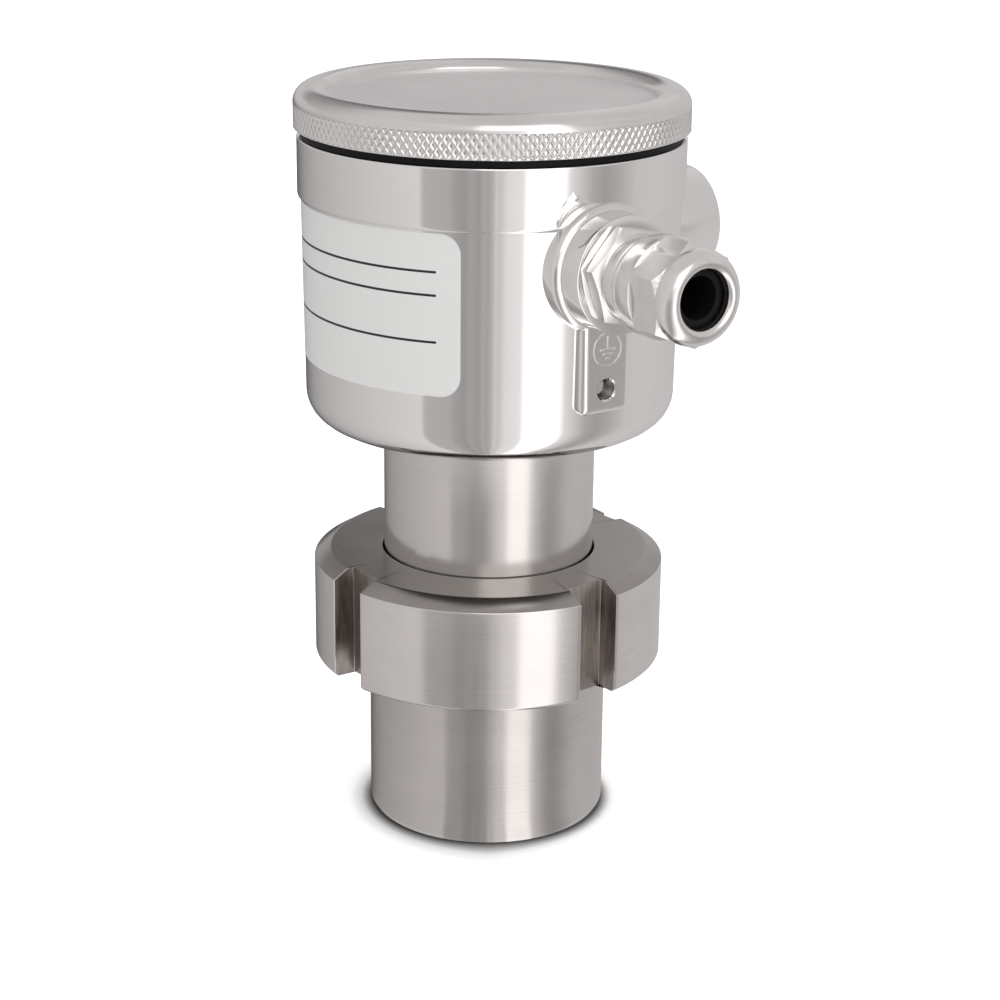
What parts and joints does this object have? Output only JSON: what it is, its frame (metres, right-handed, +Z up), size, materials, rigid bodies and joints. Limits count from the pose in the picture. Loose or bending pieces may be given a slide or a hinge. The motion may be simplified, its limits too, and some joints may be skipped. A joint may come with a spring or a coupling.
{
  "type": "sanitary pressure transmitter",
  "caption": "Flush sanitary pressure transmitter: polished pot with knurled screw lid, cable gland and earth pad, on a neck held to a weld-on nipple by a slotted union nut",
  "frame": {"origin": "centre of the weld-on nipple's lower end face", "axes": "+Z up along the neck, -Y towards the camera of the picture, +X to its right"},
  "size_m": [0.1087, 0.1249, 0.1913],
  "materials": {
    "turned_steel": "finely turned stainless steel",
    "neck_steel": "brushed stainless steel",
    "diaphragm_steel": "smooth stainless steel foil",
    "ribbon": "grey flat ribbon lead",
    "rubber_black": "black rubber",
    "nut_steel": "machined stainless steel",
    "polished_steel": "mirror-polished stainless steel",
    "gland_metal": "nickel-plated metal, satin",
    "lid_steel": "polished and bead-blasted stainless steel",
    "label_film": "pale self-adhesive film",
    "claw_plastic": "dark nylon",
    "board": "green circuit board",
    "cup_plastic": "black moulded plastic",
    "screw_steel": "plain steel screws",
    "screw_brass": "plated brass",
    "block_plastic": "green moulded plastic",
    "trimmer_plastic": "blue moulded plastic",
    "rotor_plastic": "off-white moulded plastic"
  },
  "bodies": {
    "nipple": {"weld_nipple": "turned_steel"},
    "transmitter": {"sensor_body": "neck_steel", "diaphragm": "diaphragm_steel", "pressure_cell": "diaphragm_steel", "sensor_ribbon": "ribbon", "sensor_o_ring": "rubber_black", "housing": "polished_steel", "gland_boss": "polished_steel", "earth_tongue": "polished_steel", "side_boss": "polished_steel", "blind_plug": "gland_metal", "label": "label_film", "gland_body": "gland_metal", "gland_seal": "rubber_black", "gland_insert": "rubber_black", "circuit_board": "board", "electronics_cup": "cup_plastic", "module_screws": "screw_steel", "inner_earth_screw": "screw_brass", "terminal_block": "block_plastic", "trimmer_case_zero": "trimmer_plastic", "trimmer_case_span": "trimmer_plastic", "trimmer_case_damping": "trimmer_plastic", "module_pillars": "polished_steel", "earth_pillar": "polished_steel"},
    "nut": {"union_nut": "nut_steel"},
    "lid_ring": {"lid_seal": "rubber_black"},
    "lid": {"lid": "lid_steel"},
    "claw": {"gland_claw": "claw_plastic"},
    "dome_nut": {"gland_dome_nut": "gland_metal"},
    "cage_1": {"terminal_cage_1": "screw_brass"},
    "cage_2": {"terminal_cage_2": "screw_brass"},
    "cage_3": {"terminal_cage_3": "screw_brass"},
    "screw_1": {"terminal_screw_1": "screw_steel"},
    "screw_2": {"terminal_screw_2": "screw_steel"},
    "screw_3": {"terminal_screw_3": "screw_steel"},
    "zero": {"trimmer_rotor_zero": "rotor_plastic"},
    "span": {"trimmer_rotor_span": "rotor_plastic"},
    "damping": {"trimmer_rotor_damping": "rotor_plastic"}
  },
  "joints": [
    {"name": "transmitter_rise", "type": "slide", "parent": "nipple", "child": "transmitter", "axis": [0, 0, 1], "range_m": [0, 0.018]},
    {"name": "nut_turn", "type": "hinge", "parent": "transmitter", "child": "nut", "pos_m": [0, 0, 0.0575], "axis": [0, 0, 1], "range_deg": [0, 1530]},
    {"name": "lid_ring_rise", "type": "slide", "parent": "transmitter", "child": "lid_ring", "axis": [0, 0, 1], "range_m": [0, 0.01]},
    {"name": "lid_turn", "type": "hinge", "parent": "lid_ring", "child": "lid", "pos_m": [0, 0, 0.185], "axis": [0, 0, 1], "range_deg": [0, 1800]},
    {"name": "claw_slide", "type": "slide", "parent": "transmitter", "child": "claw", "axis": [0.5635, -0.8261, 0], "range_m": [0, 0.0075]},
    {"name": "dome_nut_turn", "type": "hinge", "parent": "claw", "child": "dome_nut", "pos_m": [0.04283, -0.06278, 0.1542], "axis": [0.5635, -0.8261, 0], "range_deg": [0, 1800]},
    {"name": "screw_1_turn", "type": "hinge", "parent": "transmitter", "child": "screw_1", "pos_m": [-0.009, 0.0105, 0.146], "axis": [0, 0, 1], "range_deg": [0, 1080]},
    {"name": "screw_2_turn", "type": "hinge", "parent": "transmitter", "child": "screw_2", "pos_m": [0, 0.0105, 0.146], "axis": [0, 0, 1], "range_deg": [0, 1080]},
    {"name": "screw_3_turn", "type": "hinge", "parent": "transmitter", "child": "screw_3", "pos_m": [0.009, 0.0105, 0.146], "axis": [0, 0, 1], "range_deg": [0, 1080]},
    {"name": "cage_1_travel", "type": "slide", "parent": "transmitter", "child": "cage_1", "axis": [0, 0, 1], "range_m": [-0.0015, 0]},
    {"name": "cage_2_travel", "type": "slide", "parent": "transmitter", "child": "cage_2", "axis": [0, 0, 1], "range_m": [-0.0015, 0]},
    {"name": "cage_3_travel", "type": "slide", "parent": "transmitter", "child": "cage_3", "axis": [0, 0, 1], "range_m": [-0.0015, 0]},
    {"name": "zero_turn", "type": "hinge", "parent": "transmitter", "child": "zero", "pos_m": [-0.013, -0.015, 0.134], "axis": [0, 0, 1], "range_deg": [-135, 135]},
    {"name": "span_turn", "type": "hinge", "parent": "transmitter", "child": "span", "pos_m": [0, -0.015, 0.134], "axis": [0, 0, 1], "range_deg": [-135, 135]},
    {"name": "damping_turn", "type": "hinge", "parent": "transmitter", "child": "damping", "pos_m": [0.013, -0.015, 0.134], "axis": [0, 0, 1], "range_deg": [-135, 135]}
  ],
  "couplings": [
    {"joint": "transmitter_rise", "follows": "nut_turn", "m_per_rad": 0.00067372},
    {"joint": "lid_ring_rise", "follows": "lid_turn", "m_per_rad": 0.00031831},
    {"joint": "claw_slide", "follows": "dome_nut_turn", "m_per_rad": 0.00023873},
    {"joint": "screw_1_turn", "follows": "cage_1_travel", "rad_per_m": -12566},
    {"joint": "screw_2_turn", "follows": "cage_2_travel", "rad_per_m": -12566},
    {"joint": "screw_3_turn", "follows": "cage_3_travel", "rad_per_m": -12566}
  ]
}
